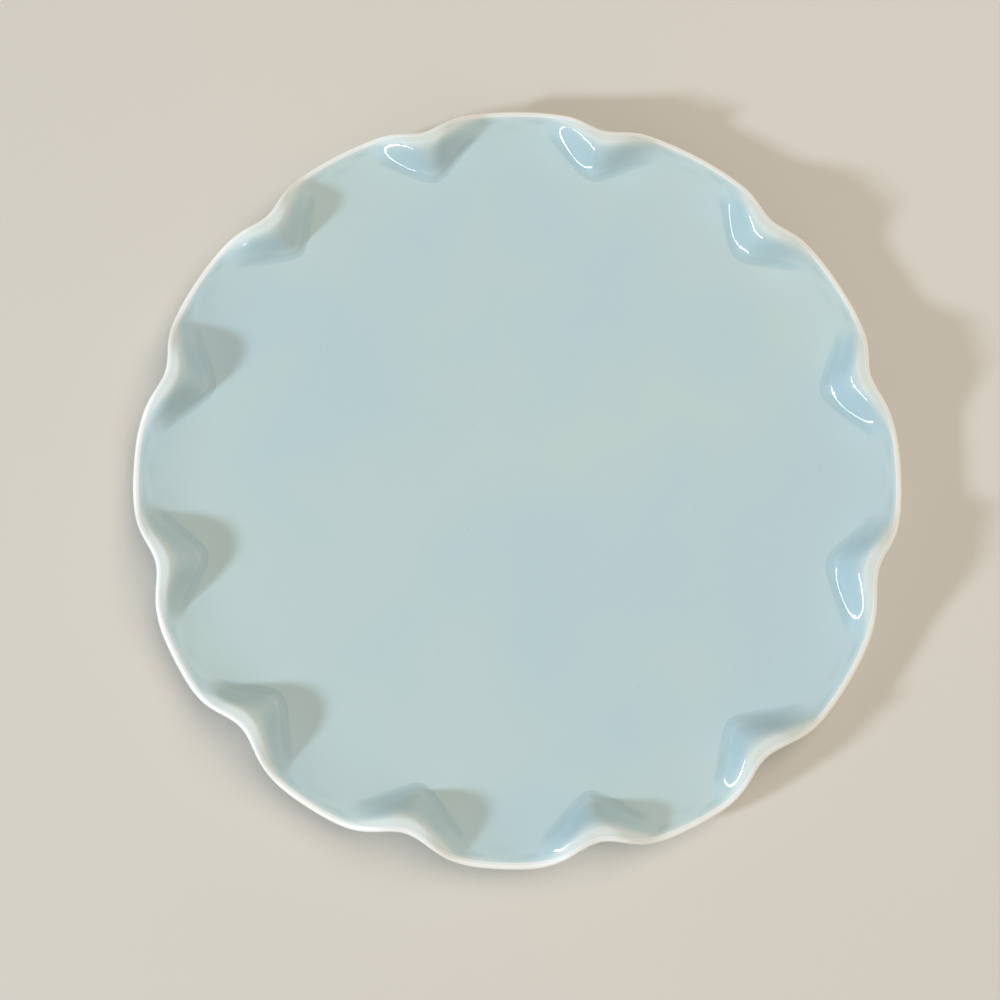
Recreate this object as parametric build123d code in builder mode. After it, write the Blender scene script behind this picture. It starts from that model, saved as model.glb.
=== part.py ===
"""Scalloped dessert plate: a glazed pottery plate with a hand-crimped rim. Millimetres, foot on z = 0."""

import os
from math import cos, pi, radians, sin

from build123d import *

os.makedirs("parts", exist_ok=True)

# Plate
PLATE_DIAMETER = 203.0  # across the scallops
RIM_WIDTH = 19.5  # from the scallops' circle in to the flat floor
FLOOR_THICKNESS = 4.2  # clay and both coats of glaze
RIM_THICKNESS = 2.8  # the same at the lip, and the diameter of its round edge
GLAZE_THICKNESS = 0.4

# Crimps: where the rim is pinched in and up between two scallops
CRIMP_BEARINGS = (-16, 15, 45, 76, 105.5, 134.5, 164.5, 195, 223.5, 253, 282, 310)  # by hand, so not even
CRIMP_DEPTH = 5.2  # how far a crimp comes in from the scallops' circle
EDGE_SHARPNESS = 2.5  # over 1 the crimps are narrower than the scallops, here along the edge
WALL_SHARPNESS = 1.5  # the same for the wall and its height
FOLD = 0.6  # under 1 the foot of the wall turns tightly at a crimp and runs out straight, like a fold
FOLD_ROUNDING = 0.06  # how round that turn is
SECTIONS = 5  # sections from a crimp to the middle of a scallop

# Rim from the floor outwards, in the middle of a scallop and at a crimp
SCALLOP_WALL_START = 4.5  # from the scallops' circle in to the foot of the wall
CRIMP_WALL_START = 2.1  # from the flat floor out to it
SCALLOP_SAUCER = 1.2  # how far the floor dishes up before the wall starts
CRIMP_SAUCER = 0.0
SCALLOP_RISE = 1.5  # floor to crest
CRIMP_RISE = 7.4
SCALLOP_LIP = 1.2  # straight lip inside the round edge
CRIMP_LIP = 1.8
SCALLOP_LIP_TILT = 9.0  # degrees, up towards the edge
CRIMP_LIP_TILT = -5.0  # at a crimp the lip rolls over a little
FOOT_PULL = 0.4  # how far the floor's line carries on into the wall, as a share of the wall's run
CREST_PULL = 0.35  # the same for the lip's line, running back down

# Foot ring
FOOT_HEIGHT = 3.0  # table to the glazed underside
FOOT_RADIUS = 60.0  # middle of the bare toe
TOE_WIDTH = 3.0
FOOT_FLARE = 1.0  # how much wider the ring is at its root, each side
TOE_ROUNDING = 0.6
GLAZE_STOP = 1.2  # the foot is wiped clean of glaze below this height

# Radii and levels that follow
PLATE_RADIUS = PLATE_DIAMETER / 2
FLOOR_RADIUS = PLATE_RADIUS - RIM_WIDTH
BACK_Z = FOOT_HEIGHT
CLAY_BACK_Z = BACK_Z + GLAZE_THICKNESS
FLOOR_Z = BACK_Z + FLOOR_THICKNESS
CLAY_FLOOR_Z = FLOOR_Z - GLAZE_THICKNESS

# Skins of the rim: depth under the glazed face, at the floor and at the lip
FACE = (0, 0)
CLAY_FACE = (GLAZE_THICKNESS, GLAZE_THICKNESS)
CLAY_BACK = (FLOOR_THICKNESS - GLAZE_THICKNESS, RIM_THICKNESS - GLAZE_THICKNESS)
BACK = (FLOOR_THICKNESS, RIM_THICKNESS)


def rim_stations():
    """Bearing of each section round the rim, with its crimp: 0 in the middle of a scallop, 1 at a crimp."""
    loop = (CRIMP_BEARINGS[-1] - 360, *CRIMP_BEARINGS, CRIMP_BEARINGS[0] + 360)
    stations = []
    for before, here, after in zip(loop, loop[1:], loop[2:]):
        for step in range(-SECTIONS, SECTIONS):
            half_scallop = (here - before if step < 0 else after - here) / 2
            crimp = (1 + cos(pi * step / SECTIONS)) / 2
            stations.append((here + half_scallop * step / SECTIONS, crimp))
    return stations


def radial_plane(bearing):
    """Upright plane through the axis: its x runs outwards and its y runs up."""
    outwards = Vector(cos(radians(bearing)), sin(radians(bearing)), 0)
    return Plane(origin=(0, 0, 0), x_dir=outwards, z_dir=outwards.cross(Vector(0, 0, 1)))


def blend(scallop, crimped, crimp):
    return scallop + (crimped - scallop) * crimp


def raised(crimp):
    """Rounded cap of the wall's height along the rim: 1 at a crimp, 0 on the scallop."""
    share = crimp**WALL_SHARPNESS
    return share * share * (3 - 2 * share)


def folded(crimp):
    """Fold of the wall's foot along the rim: 1 at a crimp, 0 in the middle of a scallop."""
    closed = FOLD_ROUNDING**FOLD
    opened = (FOLD_ROUNDING + 1) ** FOLD
    return (opened - (FOLD_ROUNDING + 1 - crimp) ** FOLD) / (opened - closed)


def below(direction):
    """Normal on the underside of a line that runs outwards."""
    return Vector(direction.Y, -direction.X).normalized()


def skin(crimp, floor_depth, lip_depth):
    """One skin of the rim in its section: curve points of the saucer, curve points of the wall, end of the lip."""
    along_edge = crimp**EDGE_SHARPNESS
    along_wall = raised(crimp)
    tilt = radians(blend(SCALLOP_LIP_TILT, CRIMP_LIP_TILT, along_wall))
    lip_line = Vector(cos(tilt), sin(tilt))
    lip_length = blend(SCALLOP_LIP, CRIMP_LIP, along_edge)
    edge_radius = PLATE_RADIUS - CRIMP_DEPTH * along_edge
    lip_radius = edge_radius - RIM_THICKNESS / 2 * (1 + sin(tilt))
    crest = Vector(lip_radius - lip_length * cos(tilt), FLOOR_Z + blend(SCALLOP_RISE, CRIMP_RISE, along_wall))

    floor_end = Vector(FLOOR_RADIUS, FLOOR_Z)
    wall_radius = blend(PLATE_RADIUS - SCALLOP_WALL_START, FLOOR_RADIUS + CRIMP_WALL_START, folded(crimp))
    saucer = Vector(wall_radius - FLOOR_RADIUS, blend(SCALLOP_SAUCER, CRIMP_SAUCER, along_wall))
    wall_foot = floor_end + saucer
    foot_line = Vector(saucer.X, 2 * saucer.Y).normalized()

    run = crest.X - wall_foot.X
    foot_pull = wall_foot + foot_line * (run * FOOT_PULL)
    crest_pull = crest - lip_line * (run * CREST_PULL)
    under_foot = below(foot_line)
    under_wall = below(crest_pull - foot_pull)
    under_lip = below(lip_line)
    foot_corner = (under_foot + under_wall) / (1 + under_foot.dot(under_wall))

    saucer_start = floor_end + Vector(0, -floor_depth)
    saucer_end = wall_foot + under_foot * floor_depth
    third = (saucer_end.X - saucer_start.X) / 3
    saucer_curve = (
        saucer_start,
        saucer_start + Vector(third, 0),
        saucer_end - foot_line * (third / foot_line.X),
        saucer_end,
    )
    wall_curve = (
        saucer_end,
        foot_pull + foot_corner * floor_depth,
        crest_pull + under_lip * lip_depth,
        crest + under_lip * lip_depth,
    )
    return saucer_curve, wall_curve, crest + lip_line * lip_length + under_lip * lip_depth


def draw_outwards(curves):
    saucer_curve, wall_curve, lip_end = curves
    Bezier(*saucer_curve)
    Bezier(*wall_curve)
    Line(wall_curve[-1], lip_end)


def draw_inwards(curves):
    saucer_curve, wall_curve, lip_end = curves
    Line(lip_end, wall_curve[-1])
    Bezier(*reversed(wall_curve))
    Bezier(*reversed(saucer_curve))


def clay_outline(crimp):
    face, clay_face, clay_back, back = (skin(crimp, *depths) for depths in (FACE, CLAY_FACE, CLAY_BACK, BACK))
    draw_outwards(clay_face)
    Line(clay_face[-1], face[-1])
    TangentArc(face[-1], back[-1], tangent=face[-1] - face[1][-1])
    Line(back[-1], clay_back[-1])
    draw_inwards(clay_back)
    Line(clay_back[0][0], clay_face[0][0])


def coat_outline(crimp, upper_skin, lower_skin):
    upper = skin(crimp, *upper_skin)
    lower = skin(crimp, *lower_skin)
    draw_outwards(upper)
    Line(upper[-1], lower[-1])
    draw_inwards(lower)
    Line(lower[0][0], upper[0][0])


def dished(outline, *skins):
    """Solid plate from its outline all round the rim. The loft of the sections closes into a ring, and flat discs
    across the ring's two inner edges then stand in for its inner wall."""
    sections = []
    for bearing, crimp in rim_stations():
        with BuildSketch(radial_plane(bearing), mode=Mode.PRIVATE) as section:
            with BuildLine():
                outline(crimp, *skins)
            make_face()
        sections.append(section.sketch.face())
    ring = loft(sections=[*sections, sections[0]], mode=Mode.PRIVATE)
    inner_wall, *other_faces = ring.faces().sort_by(lambda face: face.bounding_box().size.X)
    discs = [Face(Wire(edge)) for edge in inner_wall.edges().filter_by(lambda edge: edge.is_closed)]
    return Solid(Shell([*other_faces, *discs]))


def foot_side(height, outwards):
    """Point on the foot ring's outer (1) or inner (-1) side at a height over the table."""
    flare = FOOT_FLARE * height / CLAY_BACK_Z
    return (FOOT_RADIUS + outwards * (TOE_WIDTH / 2 + flare), height)


def coated_side(height, outwards):
    """The same on the glaze over that side."""
    radius = foot_side(height, outwards)[0] + outwards * GLAZE_THICKNESS
    return (radius, height)


# Clay body: crimped rim, floor and foot ring, with a round rim edge that stands clear of both coats
with BuildPart() as clay_body:
    add(dished(clay_outline))
    with BuildSketch(Plane.XZ) as foot_profile:
        with BuildLine():
            Polyline(
                foot_side(CLAY_BACK_Z, -1),
                foot_side(0, -1),
                foot_side(0, 1),
                foot_side(CLAY_BACK_Z, 1),
                close=True,
            )
        make_face()
        fillet(foot_profile.vertices().group_by(Axis.Y)[0], radius=TOE_ROUNDING)
    revolve(axis=Axis.Z)
clay_body.part.label = "clay_body"
export_step(clay_body.part, "parts/clay_body.step")

# Glaze on the face: floor and inside of the rim, up to the round edge
with BuildPart() as face_glaze:
    add(dished(coat_outline, FACE, CLAY_FACE))
face_glaze.part.label = "face_glaze"
export_step(face_glaze.part, "parts/face_glaze.step")

# Glaze on the underside: rim edge to foot ring, and down the outside of the ring to the wiped toe
with BuildPart() as underside_glaze:
    add(dished(coat_outline, CLAY_BACK, BACK))
    collar_radius = coated_side(BACK_Z, 1)[0]
    with BuildSketch(Plane.XY.offset(BACK_Z)):
        Circle(collar_radius)
    extrude(amount=GLAZE_THICKNESS, mode=Mode.SUBTRACT)
    with BuildSketch(Plane.XZ):
        with BuildLine():
            Polyline(
                foot_side(CLAY_BACK_Z, 1),
                foot_side(GLAZE_STOP, 1),
                coated_side(GLAZE_STOP, 1),
                coated_side(BACK_Z, 1),
                (collar_radius, CLAY_BACK_Z),
                close=True,
            )
        make_face()
    revolve(axis=Axis.Z)
underside_glaze.part.label = "underside_glaze"
export_step(underside_glaze.part, "parts/underside_glaze.step")

# Glaze in the well inside the foot ring
with BuildPart() as foot_well_glaze:
    with BuildSketch(Plane.XZ):
        with BuildLine():
            Polyline(
                (0, CLAY_BACK_Z),
                foot_side(CLAY_BACK_Z, -1),
                foot_side(GLAZE_STOP, -1),
                coated_side(GLAZE_STOP, -1),
                coated_side(BACK_Z, -1),
                (0, BACK_Z),
                close=True,
            )
        make_face()
    revolve(axis=Axis.Z)
foot_well_glaze.part.label = "foot_well_glaze"
export_step(foot_well_glaze.part, "parts/foot_well_glaze.step")
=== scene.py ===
"""Scalloped dessert plate: crimped clay body and its three patches of blue glaze. Metres, and the
foot stands on z = 0."""

from math import cos, pi, radians, sin

import bmesh
import bpy
from mathutils import Matrix, Vector


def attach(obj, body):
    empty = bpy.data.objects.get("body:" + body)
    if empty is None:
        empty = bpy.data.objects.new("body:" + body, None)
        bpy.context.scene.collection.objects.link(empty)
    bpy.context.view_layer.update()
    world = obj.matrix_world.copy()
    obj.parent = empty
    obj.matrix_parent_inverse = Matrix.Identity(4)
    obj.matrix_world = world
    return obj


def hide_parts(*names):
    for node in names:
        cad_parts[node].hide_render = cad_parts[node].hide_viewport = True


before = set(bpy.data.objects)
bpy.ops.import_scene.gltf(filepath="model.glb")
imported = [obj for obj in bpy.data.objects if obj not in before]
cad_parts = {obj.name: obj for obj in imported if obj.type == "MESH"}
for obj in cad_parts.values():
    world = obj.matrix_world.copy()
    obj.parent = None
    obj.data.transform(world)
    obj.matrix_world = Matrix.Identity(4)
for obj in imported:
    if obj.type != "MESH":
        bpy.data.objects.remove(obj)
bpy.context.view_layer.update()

MM = 0.001

# Plate, in millimetres, as in the part's source
PLATE_RADIUS = 101.5
FLOOR_RADIUS = 82.0
FLOOR_THICKNESS = 4.2
RIM_THICKNESS = 2.8
GLAZE = 0.4
CRIMP_BEARINGS = (-16, 15, 45, 76, 105.5, 134.5, 164.5, 195, 223.5, 253, 282, 310)
CRIMP_DEPTH = 5.2
EDGE_SHARPNESS = 2.5
WALL_SHARPNESS = 1.5
FOLD = 0.6
FOLD_ROUNDING = 0.06
SCALLOP_WALL_START, CRIMP_WALL_START = 4.5, 2.1
SCALLOP_SAUCER, CRIMP_SAUCER = 1.2, 0.0
SCALLOP_RISE, CRIMP_RISE = 1.5, 7.4
SCALLOP_LIP, CRIMP_LIP = 1.2, 1.8
SCALLOP_LIP_TILT, CRIMP_LIP_TILT = 9.0, -5.0
FOOT_PULL = 0.4
CREST_PULL = 0.35

# Foot ring
BACK_Z = 3.0
FOOT_RADIUS = 60.0
TOE_WIDTH = 3.0
FOOT_FLARE = 1.0
TOE_ROUNDING = 0.6
GLAZE_STOP = 1.2

CLAY_BACK_Z = BACK_Z + GLAZE
FLOOR_Z = BACK_Z + FLOOR_THICKNESS
CLAY_FLOOR_Z = FLOOR_Z - GLAZE

# Skins of the rim: depth under the glazed face, at the floor and at the lip
FACE = (0, 0)
CLAY_FACE = (GLAZE, GLAZE)
CLAY_BACK = (FLOOR_THICKNESS - GLAZE, RIM_THICKNESS - GLAZE)
BACK = (FLOOR_THICKNESS, RIM_THICKNESS)

# Mesh steps, and the angle in degrees over which an edge stays sharp
COLUMNS_IN_HALF_SCALLOP = 24
SAUCER_STEPS = 8
WALL_STEPS = 22
LIP_STEPS = 4
EDGE_STEPS = 10
TOE_STEPS = 4
FLOOR_RINGS = (12, 26, 40, 54, 66, 76)
WELL_RINGS = (12, 26, 40, 52)
BACK_RINGS = (68, 76)
SHARP_ANGLE = 40


# Shape of the plate

def rim_columns():
    """Bearing of each mesh column, with its crimp: 0 in the middle of a scallop, 1 at a crimp."""
    loop = (CRIMP_BEARINGS[-1] - 360, *CRIMP_BEARINGS, CRIMP_BEARINGS[0] + 360)
    columns = []
    for before, here, after in zip(loop, loop[1:], loop[2:]):
        for step in range(-COLUMNS_IN_HALF_SCALLOP, COLUMNS_IN_HALF_SCALLOP):
            half_scallop = (here - before if step < 0 else after - here) / 2
            share = step / COLUMNS_IN_HALF_SCALLOP
            crimp = (1 + cos(pi * share)) / 2
            columns.append((here + half_scallop * share, crimp))
    return columns


def blend(scallop, crimped, crimp):
    return scallop + (crimped - scallop) * crimp


def raised(crimp):
    """Rounded cap of the wall's height along the rim: 1 at a crimp, 0 on the scallop."""
    share = crimp**WALL_SHARPNESS
    return share * share * (3 - 2 * share)


def folded(crimp):
    """Fold of the wall's foot along the rim: 1 at a crimp, 0 in the middle of a scallop."""
    closed = FOLD_ROUNDING**FOLD
    opened = (FOLD_ROUNDING + 1) ** FOLD
    return (opened - (FOLD_ROUNDING + 1 - crimp) ** FOLD) / (opened - closed)


def below(direction):
    """Normal on the underside of a line that runs outwards."""
    return Vector((direction.y, -direction.x)).normalized()


def curve(points, steps):
    """Points along a cubic curve, without its start."""
    start, pull_out, pull_back, end = points
    line = []
    for step in range(1, steps + 1):
        t = step / steps
        s = 1 - t
        outward = start * s**3 + pull_out * (3 * s * s * t)
        line.append(outward + pull_back * (3 * s * t * t) + end * t**3)
    return line


def rim_skin(crimp, floor_depth, lip_depth):
    """Points along one skin of the rim in its section: up the saucer and the wall, and along the
    lip."""
    along_edge = crimp**EDGE_SHARPNESS
    along_wall = raised(crimp)
    tilt = radians(blend(SCALLOP_LIP_TILT, CRIMP_LIP_TILT, along_wall))
    lip_line = Vector((cos(tilt), sin(tilt)))
    lip_length = blend(SCALLOP_LIP, CRIMP_LIP, along_edge)
    edge_radius = PLATE_RADIUS - CRIMP_DEPTH * along_edge
    lip_radius = edge_radius - RIM_THICKNESS / 2 * (1 + sin(tilt))
    rise = blend(SCALLOP_RISE, CRIMP_RISE, along_wall)
    crest = Vector((lip_radius - lip_length * cos(tilt), FLOOR_Z + rise))

    floor_end = Vector((FLOOR_RADIUS, FLOOR_Z))
    scallop_wall = PLATE_RADIUS - SCALLOP_WALL_START
    crimp_wall = FLOOR_RADIUS + CRIMP_WALL_START
    wall_radius = blend(scallop_wall, crimp_wall, folded(crimp))
    saucer_rise = blend(SCALLOP_SAUCER, CRIMP_SAUCER, along_wall)
    saucer = Vector((wall_radius - FLOOR_RADIUS, saucer_rise))
    wall_foot = floor_end + saucer
    foot_line = Vector((saucer.x, 2 * saucer.y)).normalized()

    run = crest.x - wall_foot.x
    foot_pull = wall_foot + foot_line * (run * FOOT_PULL)
    crest_pull = crest - lip_line * (run * CREST_PULL)
    under_foot = below(foot_line)
    under_wall = below(crest_pull - foot_pull)
    under_lip = below(lip_line)
    foot_corner = (under_foot + under_wall) / (1 + under_foot.dot(under_wall))

    saucer_start = floor_end + Vector((0, -floor_depth))
    saucer_end = wall_foot + under_foot * floor_depth
    third = (saucer_end.x - saucer_start.x) / 3
    saucer_curve = (
        saucer_start,
        saucer_start + Vector((third, 0)),
        saucer_end - foot_line * (third / foot_line.x),
        saucer_end,
    )
    wall_curve = (
        saucer_end,
        foot_pull + foot_corner * floor_depth,
        crest_pull + under_lip * lip_depth,
        crest + under_lip * lip_depth,
    )
    crest_end = wall_curve[-1]
    lip_runs = [lip_length * step / LIP_STEPS for step in range(1, LIP_STEPS + 1)]
    return [
        saucer_start,
        *curve(saucer_curve, SAUCER_STEPS),
        *curve(wall_curve, WALL_STEPS),
        *[crest_end + lip_line * run for run in lip_runs],
    ]


def round_edge(face_end, back_end):
    """Points round the rim's edge between the ends of the face and the back, which lie on its
    diameter."""
    middle = (face_end + back_end) / 2
    up = face_end - middle
    out = Vector((up.y, -up.x))
    angles = [pi * step / EDGE_STEPS for step in range(1, EDGE_STEPS)]
    return [middle + up * cos(angle) + out * sin(angle) for angle in angles]


def foot_side(height, outwards):
    """Point on the foot ring's outer (1) or inner (-1) side at a height over the table."""
    flare = FOOT_FLARE * height / CLAY_BACK_Z
    return Vector((FOOT_RADIUS + outwards * (TOE_WIDTH / 2 + flare), height))


def coated_side(height, outwards):
    return foot_side(height, outwards) + Vector((outwards * GLAZE, 0))


def toe_corner(outwards):
    """Rounded corner of the bare toe, from the side of the ring to the face that it stands on."""
    corner = foot_side(0, outwards)
    start = foot_side(TOE_ROUNDING, outwards)
    end = corner - Vector((outwards * TOE_ROUNDING, 0))
    points = []
    for step in range(TOE_STEPS + 1):
        t = step / TOE_STEPS
        points.append(start * (1 - t) ** 2 + corner * (2 * t * (1 - t)) + end * t**2)
    return points


def level(radii, height):
    return [Vector((radius, height)) for radius in radii]


# Each section below gives its points, and those of them that lie on the glaze's edge

def clay_section(crimp):
    face = rim_skin(crimp, *FACE)
    back = rim_skin(crimp, *BACK)
    points = [
        *level((0, *WELL_RINGS), CLAY_BACK_Z),
        foot_side(CLAY_BACK_Z, -1),
        *toe_corner(-1),
        *reversed(toe_corner(1)),
        foot_side(CLAY_BACK_Z, 1),
        *level(BACK_RINGS, CLAY_BACK_Z),
        *rim_skin(crimp, *CLAY_BACK),
        back[-1],
        *reversed(round_edge(face[-1], back[-1])),
        face[-1],
        *reversed(rim_skin(crimp, *CLAY_FACE)),
        *level((*reversed(FLOOR_RINGS), 0), CLAY_FLOOR_Z),
    ]
    return points, [face[-1], back[-1]]


def face_section(crimp):
    clay = rim_skin(crimp, *CLAY_FACE)
    face = rim_skin(crimp, *FACE)
    points = [
        *level((0, *FLOOR_RINGS), CLAY_FLOOR_Z),
        *clay,
        *reversed(face),
        *level((*reversed(FLOOR_RINGS), 0), FLOOR_Z),
    ]
    return points, [clay[-1], face[-1]]


def underside_section(crimp):
    clay = rim_skin(crimp, *CLAY_BACK)
    back = rim_skin(crimp, *BACK)
    bare = foot_side(GLAZE_STOP, 1)
    coated = coated_side(GLAZE_STOP, 1)
    points = [
        bare,
        coated,
        coated_side(BACK_Z, 1),
        *level(BACK_RINGS, BACK_Z),
        *back,
        *reversed(clay),
        *level(reversed(BACK_RINGS), CLAY_BACK_Z),
        foot_side(CLAY_BACK_Z, 1),
    ]
    return points, [bare, coated, clay[-1], back[-1]]


def well_section(crimp):
    bare = foot_side(GLAZE_STOP, -1)
    coated = coated_side(GLAZE_STOP, -1)
    points = [
        *level((0, *WELL_RINGS), BACK_Z),
        coated_side(BACK_Z, -1),
        coated,
        bare,
        foot_side(CLAY_BACK_Z, -1),
        *level((*reversed(WELL_RINGS), 0), CLAY_BACK_Z),
    ]
    return points, [bare, coated]


def edge_distances(points, edge_points):
    """Distance of each point of a section to the nearest edge of the glaze, along the section."""
    walked = [0.0]
    for before, here in zip(points, points[1:]):
        walked.append(walked[-1] + (here - before).length)
    edges = []
    for walk, point in zip(walked, points):
        if any(point is edge for edge in edge_points):
            edges.append(walk)
    return [min(abs(walk - edge) for edge in edges) for walk in walked]


def plate_piece(name, section):
    """Closed mesh of one piece, from its section at every column. It keeps each point's distance to
    the glaze's edge in millimetres, how far the wall is raised there, and how hollow (over 0) or
    crested (under 0) the surface is."""
    mesh = bmesh.new()
    edge_distance = mesh.verts.layers.float.new("edge_distance")
    wall_raised = mesh.verts.layers.float.new("wall_raised")
    hollow = mesh.verts.layers.float.new("hollow")
    columns = []
    poles = {}
    for bearing, crimp in rim_columns():
        points, edge_points = section(crimp)
        distances = edge_distances(points, edge_points)
        turn = radians(bearing)
        column = []
        for row, (point, distance) in enumerate(zip(points, distances)):
            vertex = poles.get(row)
            if vertex is None:
                place = Vector((point.x * cos(turn), point.x * sin(turn), point.y)) * MM
                vertex = mesh.verts.new(place)
                vertex[edge_distance] = distance
                vertex[wall_raised] = raised(crimp) if point.x > FLOOR_RADIUS else 0
                if point.x == 0:
                    poles[row] = vertex
            column.append(vertex)
        columns.append(column)

    rows = range(len(columns[0]) - 1 if poles else len(columns[0]))
    for column, beside in zip(columns, columns[1:] + columns[:1]):
        for row in rows:
            above = (row + 1) % len(column)
            corners = (column[row], beside[row], beside[above], column[above])
            mesh.faces.new(dict.fromkeys(corners))
    bmesh.ops.recalc_face_normals(mesh, faces=mesh.faces)
    mesh.normal_update()
    for vertex in mesh.verts:
        bends = []
        for edge in vertex.link_edges:
            along = edge.other_vert(vertex).co - vertex.co
            bends.append(along.dot(vertex.normal) / along.length_squared)
        vertex[hollow] = MM * sum(bends) / len(bends)
    for face in mesh.faces:
        face.smooth = True

    data = bpy.data.meshes.new(name)
    mesh.to_mesh(data)
    mesh.free()
    data.set_sharp_from_angle(angle=radians(SHARP_ANGLE))
    piece = bpy.data.objects.new(name, data)
    bpy.context.scene.collection.objects.link(piece)
    return piece


# Finishes, sizes in millimetres

GLASS_IOR = 1.5
CLOUD_SIZE = 52
RUN_SIZE = 7
RUN_DEPTH = 0.13
SPECK_SPACING = 5
RIM_LINE_WIDTH = 0.35
# Heights over which the painted shade on the raised walls comes in
WALL_SHADE_START, WALL_SHADE_FULL = FLOOR_Z + 0.3, FLOOR_Z + 2.0
GRAIN_SIZE = 1.5
GRAIN_DEPTH = 0.02
BARE_CLAY_TOP, FILMED_CLAY_START = 4, 5
FILM_WIDTH = 0.65


def linear(hex_colour):
    """sRGB hex colour as linear RGBA."""
    channels = [int(hex_colour[at : at + 2], 16) / 255 for at in (1, 3, 5)]
    light = [c / 12.92 if c <= 0.04045 else ((c + 0.055) / 1.055) ** 2.4 for c in channels]
    return (*light, 1.0)


def add_node(material, kind, inputs=(), **settings):
    """Adds a node with its settings, and fills each input with a value or a link."""
    tree = material.node_tree
    node = tree.nodes.new(kind)
    for name, value in settings.items():
        setattr(node, name, value)
    for socket, value in dict(inputs).items():
        if isinstance(value, bpy.types.NodeSocket):
            tree.links.new(value, node.inputs[socket])
        else:
            node.inputs[socket].default_value = value
    return node


def new_material(name):
    material = bpy.data.materials.new(name)
    material.use_nodes = True
    material.node_tree.nodes.clear()
    return material


def per_size(millimetres):
    """Texture scale for features of that size."""
    return 1 / (millimetres * MM)


def blue_earthenware_glaze():
    """Opaque pale blue earthenware glaze, dipped and fired to a gloss. A glassy coat, so sharp
    highlights on a calm colour: bluer and darker where it pools in the hollows, partly painted
    shade in the creases, and darker up the raised walls, which is painted shade; pale where it ran
    thin over the crests and towards its edge, with a white line at the edge that is partly a
    painted highlight, and a few fine specks. It ran a little on the walls, which ripples the
    highlights there."""
    material = new_material("blue_earthenware_glaze")
    place = add_node(material, "ShaderNodeTexCoord").outputs["Object"]

    clouds = add_node(
        material,
        "ShaderNodeTexNoise",
        {"Vector": place, "Scale": per_size(CLOUD_SIZE), "Detail": 2.5, "Roughness": 0.55},
    )
    cloud_share = add_node(
        material,
        "ShaderNodeMapRange",
        {"Value": clouds.outputs["Fac"], "From Min": 0.36, "From Max": 0.64},
        interpolation_type="SMOOTHSTEP",
    )
    body = add_node(
        material,
        "ShaderNodeMix",
        {0: cloud_share.outputs["Result"], 6: linear("#C2D6D5"), 7: linear("#BCD3D9")},
        data_type="RGBA",
    )

    # Bluer and darker in the hollows: partly the glaze pooling there, partly painted shade in the
    # creases
    hollow = add_node(material, "ShaderNodeAttribute", attribute_name="hollow")
    pool_and_crease_shade = add_node(
        material,
        "ShaderNodeMapRange",
        {"Value": hollow.outputs["Fac"], "From Min": 0.0, "From Max": 0.04, "To Max": 0.55},
        interpolation_type="SMOOTHSTEP",
    )
    wall = add_node(material, "ShaderNodeAttribute", attribute_name="wall_raised")
    height = add_node(material, "ShaderNodeSeparateXYZ", {"Vector": place})
    over_floor = add_node(
        material,
        "ShaderNodeMapRange",
        {
            "Value": height.outputs["Z"],
            "From Min": WALL_SHADE_START * MM,
            "From Max": WALL_SHADE_FULL * MM,
            "To Max": 0.3,
        },
        interpolation_type="SMOOTHSTEP",
    )
    # Painted shade on the raised walls, from just over the floor upwards
    painted_wall_shade = add_node(
        material,
        "ShaderNodeMath",
        {0: over_floor.outputs["Result"], 1: wall.outputs["Fac"]},
        operation="MULTIPLY",
    )
    pool_and_wall_shade = add_node(
        material,
        "ShaderNodeMath",
        {0: pool_and_crease_shade.outputs["Result"], 1: painted_wall_shade.outputs["Value"]},
        operation="MAXIMUM",
    )
    pooled_and_shaded = add_node(
        material,
        "ShaderNodeMix",
        {0: pool_and_wall_shade.outputs["Value"], 6: body.outputs[2], 7: linear("#A4C0C6")},
        data_type="RGBA",
    )

    thin_crest = add_node(
        material,
        "ShaderNodeMapRange",
        {"Value": hollow.outputs["Fac"], "From Min": -0.01, "From Max": -0.1, "To Max": 0.5},
        interpolation_type="SMOOTHSTEP",
    )
    edge = add_node(material, "ShaderNodeAttribute", attribute_name="edge_distance")
    runs = add_node(
        material,
        "ShaderNodeTexNoise",
        {"Vector": place, "Scale": per_size(RUN_SIZE), "Detail": 2.0},
    )
    edge_wander = add_node(
        material,
        "ShaderNodeMath",
        {0: runs.outputs["Fac"], 1: 1.2, 2: edge.outputs["Fac"]},
        operation="MULTIPLY_ADD",
    )
    bare_reach = add_node(
        material,
        "ShaderNodeMath",
        {0: wall.outputs["Fac"], 1: -2.9, 2: edge_wander.outputs["Value"]},
        operation="MULTIPLY_ADD",
    )
    thin_edge = add_node(
        material,
        "ShaderNodeMapRange",
        {
            "Value": bare_reach.outputs["Value"],
            "From Min": 1.9,
            "From Max": -0.2,
            "To Max": 0.85,
        },
        interpolation_type="SMOOTHSTEP",
    )
    thin_share = add_node(
        material,
        "ShaderNodeMath",
        {0: thin_crest.outputs["Result"], 1: thin_edge.outputs["Result"]},
        operation="MAXIMUM",
    )
    thinned = add_node(
        material,
        "ShaderNodeMix",
        {0: thin_share.outputs["Value"], 6: pooled_and_shaded.outputs[2], 7: linear("#E4EBE5")},
        data_type="RGBA",
    )
    # White line at the glaze's edge: thin glaze over the white body, and partly a painted highlight
    rim_line_and_highlight = add_node(
        material,
        "ShaderNodeMapRange",
        {"Value": edge.outputs["Fac"], "From Min": RIM_LINE_WIDTH, "From Max": 0.0},
        interpolation_type="SMOOTHSTEP",
    )
    edged = add_node(
        material,
        "ShaderNodeMix",
        {0: rim_line_and_highlight.outputs["Result"], 6: thinned.outputs[2], 7: linear("#F8F8F4")},
        data_type="RGBA",
    )

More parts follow.
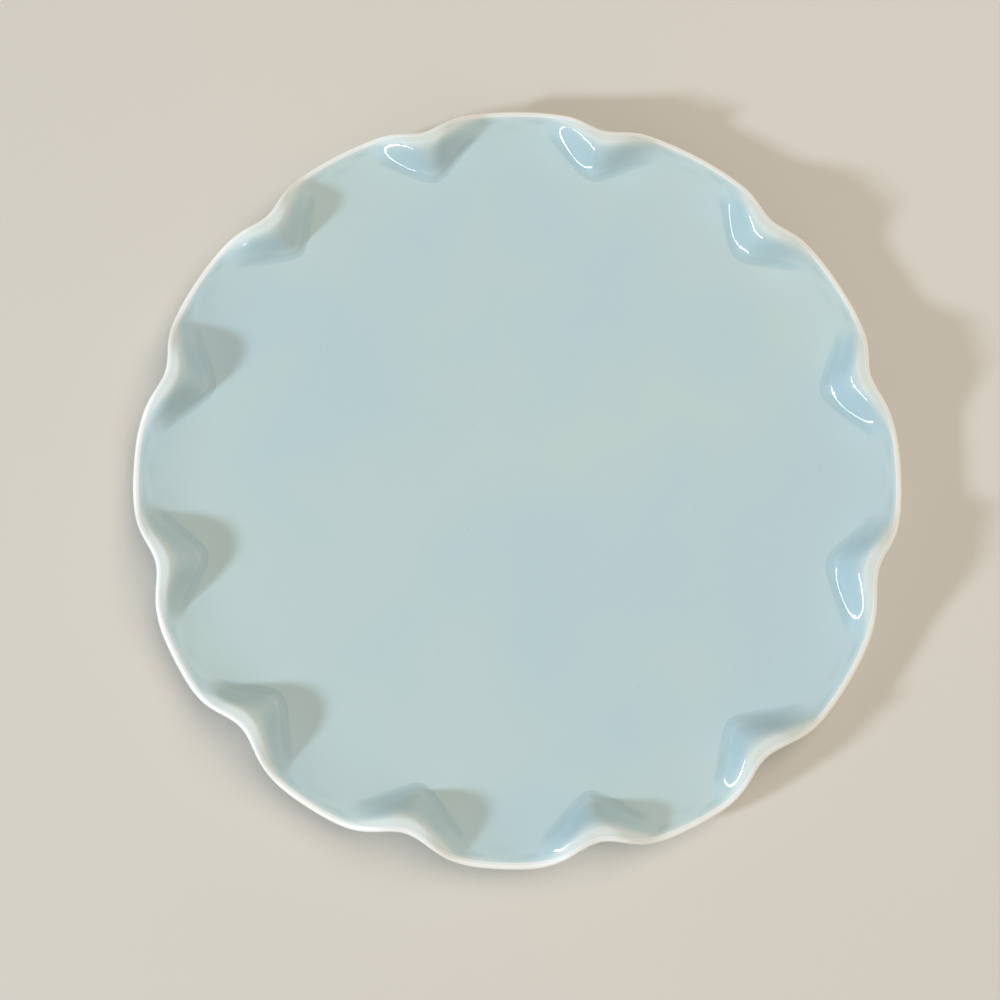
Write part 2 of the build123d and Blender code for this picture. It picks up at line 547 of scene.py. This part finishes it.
    specks = add_node(
        material, "ShaderNodeTexVoronoi", {"Vector": place, "Scale": per_size(SPECK_SPACING)}
    )
    speck_dot = add_node(
        material,
        "ShaderNodeMapRange",
        {
            "Value": specks.outputs["Distance"],
            "From Min": 0.06,
            "From Max": 0.03,
            "To Max": 0.2,
        },
        interpolation_type="SMOOTHSTEP",
    )
    coloured = add_node(
        material,
        "ShaderNodeMix",
        {0: speck_dot.outputs["Result"], 6: edged.outputs[2], 7: linear("#8C979A")},
        data_type="RGBA",
    )

    sag = add_node(
        material,
        "ShaderNodeMapRange",
        {"Value": wall.outputs["Fac"], "To Min": 0.15, "To Max": 1.0},
    )
    ripple = add_node(
        material,
        "ShaderNodeBump",
        {
            "Strength": sag.outputs["Result"],
            "Distance": RUN_DEPTH * MM,
            "Height": runs.outputs["Fac"],
        },
    )
    surface = add_node(
        material,
        "ShaderNodeBsdfPrincipled",
        {
            "Base Color": coloured.outputs[2],
            "Roughness": 0.06,
            "IOR": GLASS_IOR,
            "Normal": ripple.outputs["Normal"],
        },
    )
    add_node(material, "ShaderNodeOutputMaterial", {"Surface": surface.outputs["BSDF"]})
    return material


def cream_earthenware():
    """Fired cream earthenware. Under a thin clear film on the rim it shines, and it is drawn whiter
    there, partly for the white body and partly as a painted highlight. Wiped bare on the toe it is
    dry and chalky, with a fine grain that is drawn coarse enough to show."""
    material = new_material("cream_earthenware")
    place = add_node(material, "ShaderNodeTexCoord").outputs["Object"]
    grain = add_node(
        material,
        "ShaderNodeTexNoise",
        {"Vector": place, "Scale": per_size(GRAIN_SIZE), "Detail": 4.0},
    )
    bare_clay = add_node(
        material,
        "ShaderNodeMix",
        {0: grain.outputs["Fac"], 6: linear("#EFE7D6"), 7: linear("#E4D9C4")},
        data_type="RGBA",
    )
    height = add_node(material, "ShaderNodeSeparateXYZ", {"Vector": place})
    on_rim = add_node(
        material,
        "ShaderNodeMapRange",
        {
            "Value": height.outputs["Z"],
            "From Min": BARE_CLAY_TOP * MM,
            "From Max": FILMED_CLAY_START * MM,
        },
    )
    # The rim is painted whiter than the toe: partly the white body under its film, partly a painted
    # highlight
    clay = add_node(
        material,
        "ShaderNodeMix",
        {0: on_rim.outputs["Result"], 6: bare_clay.outputs[2], 7: linear("#FBF8EF")},
        data_type="RGBA",
    )
    edge = add_node(material, "ShaderNodeAttribute", attribute_name="edge_distance")
    film = add_node(
        material,
        "ShaderNodeMapRange",
        {"Value": edge.outputs["Fac"], "From Min": FILM_WIDTH, "From Max": 0.05},
        interpolation_type="SMOOTHSTEP",
    )
    colour = add_node(
        material,
        "ShaderNodeMix",
        {0: film.outputs["Result"], 6: clay.outputs[2], 7: linear("#E6EBE8")},
        data_type="RGBA",
    )
    dryness = add_node(
        material,
        "ShaderNodeMapRange",
        {"Value": on_rim.outputs["Result"], "To Min": 0.8, "To Max": 0.18},
    )
    relief = add_node(
        material,
        "ShaderNodeBump",
        {"Strength": 1.0, "Distance": GRAIN_DEPTH * MM, "Height": grain.outputs["Fac"]},
    )
    surface = add_node(
        material,
        "ShaderNodeBsdfPrincipled",
        {
            "Base Color": colour.outputs[2],
            "Roughness": dryness.outputs["Result"],
            "IOR": GLASS_IOR,
            "Normal": relief.outputs["Normal"],
        },
    )
    add_node(material, "ShaderNodeOutputMaterial", {"Surface": surface.outputs["BSDF"]})
    return material


# Pieces

glaze_finish = blue_earthenware_glaze()
clay_finish = cream_earthenware()

for node, section, slot, finish in (
    ("clay_body", clay_section, "cream_clay", clay_finish),
    ("face_glaze", face_section, "blue_glaze", glaze_finish),
    ("underside_glaze", underside_section, "blue_glaze", glaze_finish),
    ("foot_well_glaze", well_section, "blue_glaze", glaze_finish),
):
    piece = plate_piece(f"{node}_surface", section)
    piece.data.materials.append(finish)
    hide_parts(node)
    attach(piece, "root")


# Studio, in metres: pale floor, warm softbox high behind on the right, cool lamps low on the left,
# a weak warm one in front, and the camera nearly overhead

PALE_PAPER = "#DCD6CC"
WARM_LIGHT = "#FDF6EC"
COOL_LIGHT = "#DEEFFF"
STRIP_LIGHT = "#F4FAFF"
PAPER_SIZE = 6.0
FADE_START, FADE_END = 0.3, 0.9
SIDE_BEARING = 202
SIDE_DISTANCE = 1.5
SOFT_DISTANCE = 1.3
SOFT_SIZE = 1.2
PLATE_MIDDLE = Vector((0, 0, 0))
CAMERA_PLACE = Vector((-7.70, -56.41, 319.90)) * MM
CAMERA_TARGET = Vector((-4.86, -7.49, 8.0)) * MM
SENSOR_WIDTH = 36.0
LENS = 43.2


def studio_floor():
    """Pale paper under the plate, which fades into the equally pale backdrop further out."""
    bpy.ops.mesh.primitive_plane_add(size=PAPER_SIZE)
    floor = bpy.context.object
    floor.name = "studio_floor"
    paper = new_material("studio_paper")
    surface = add_node(paper, "ShaderNodeBsdfDiffuse", {"Color": linear(PALE_PAPER)})
    place = add_node(paper, "ShaderNodeTexCoord").outputs["Object"]
    distance = add_node(paper, "ShaderNodeVectorMath", {0: place}, operation="LENGTH")
    fade = add_node(
        paper,
        "ShaderNodeMapRange",
        {"Value": distance.outputs["Value"], "From Min": FADE_START, "From Max": FADE_END},
        interpolation_type="SMOOTHSTEP",
    )
    clear = add_node(paper, "ShaderNodeBsdfTransparent")
    faded = add_node(
        paper,
        "ShaderNodeMixShader",
        {0: fade.outputs["Result"], 1: surface.outputs["BSDF"], 2: clear.outputs["BSDF"]},
    )
    add_node(paper, "ShaderNodeOutputMaterial", {"Surface": faded.outputs["Shader"]})
    floor.data.materials.append(paper)


def aim(thing, place, target, top):
    """Puts a lamp or the camera at a place, looking at a target, with its upper side towards a
    direction."""
    back = (place - target).normalized()
    right = Vector(top).cross(back).normalized()
    thing.matrix_world = Matrix((right, back.cross(right), back)).transposed().to_4x4()
    thing.matrix_world.translation = place


def from_bearing(bearing, height, distance):
    """Place at a bearing and a height in degrees, seen from the middle of the plate."""
    turn, climb = radians(bearing), radians(height)
    return distance * Vector((cos(turn) * cos(climb), sin(turn) * cos(climb), sin(climb)))


def lamp(name, place, watts, colour, shape, **sizes):
    data = bpy.data.lights.new(name, "AREA")
    data.shape = shape
    for side, metres in sizes.items():
        setattr(data, side, metres)
    data.energy = watts
    data.color = linear(colour)[:3]
    light = bpy.data.objects.new(name, data)
    bpy.context.scene.collection.objects.link(light)
    light.visible_camera = False
    aim(light, place, PLATE_MIDDLE, (0, 0, 1))
    return light


studio_floor()
side_place = from_bearing(SIDE_BEARING, 22.3, SIDE_DISTANCE)
lamp("side_lamp", side_place, 17.4, COOL_LIGHT, "DISK", size=0.16)
strip_place = from_bearing(206, 24, SIDE_DISTANCE)
side_strip = lamp(
    "side_strip", strip_place, 17.0, STRIP_LIGHT, "RECTANGLE", size=2.0, size_y=0.12
)
side_strip.visible_diffuse = False
for name, place, watts in (
    ("softbox", from_bearing(35, 60, SOFT_DISTANCE), 11.5),
    ("front_fill", from_bearing(268, 40, SOFT_DISTANCE), 2.4),
):
    soft_lamp = lamp(name, place, watts, WARM_LIGHT, "DISK", size=SOFT_SIZE)
    soft_lamp.visible_glossy = False

# The air gives an even warm light. Seen, it is as pale as the floor. Reflected, it is as pale too,
# but darker round the side lamps
air = bpy.data.worlds.new("studio_air")
air.use_nodes = True
air.node_tree.nodes.clear()
light_path = add_node(air, "ShaderNodeLightPath")
direction = add_node(air, "ShaderNodeTexCoord").outputs["Generated"]
to_lamp = add_node(
    air,
    "ShaderNodeVectorMath",
    {0: direction, 1: from_bearing(SIDE_BEARING, 0, 1)},
    operation="DOT_PRODUCT",
)
reflected = add_node(
    air,
    "ShaderNodeMapRange",
    {
        "Value": to_lamp.outputs["Value"],
        "From Min": 0.1,
        "From Max": 0.7,
        "To Min": 1.0,
        "To Max": 0.4,
    },
)
in_glaze = add_node(
    air,
    "ShaderNodeMath",
    {0: light_path.outputs["Is Glossy Ray"], 1: reflected.outputs["Result"]},
    operation="MULTIPLY",
)
seen = add_node(
    air,
    "ShaderNodeMath",
    {0: light_path.outputs["Is Camera Ray"], 1: in_glaze.outputs["Value"]},
    operation="MAXIMUM",
)
even_light = add_node(
    air, "ShaderNodeBackground", {"Color": linear(WARM_LIGHT), "Strength": 0.15}
)
pale_backdrop = add_node(
    air, "ShaderNodeBackground", {"Color": linear(PALE_PAPER), "Strength": 1.0}
)
mixed = add_node(
    air,
    "ShaderNodeMixShader",
    {
        0: seen.outputs["Value"],
        1: even_light.outputs["Background"],
        2: pale_backdrop.outputs["Background"],
    },
)
add_node(air, "ShaderNodeOutputWorld", {"Surface": mixed.outputs["Shader"]})
bpy.context.scene.world = air

camera = bpy.data.objects.new("camera", bpy.data.cameras.new("camera"))
bpy.context.scene.collection.objects.link(camera)
camera.data.sensor_width = SENSOR_WIDTH
camera.data.lens = LENS
aim(camera, CAMERA_PLACE, CAMERA_TARGET, (0, 1, 0))
bpy.context.scene.camera = camera
bpy.context.scene.view_settings.view_transform = "Standard"
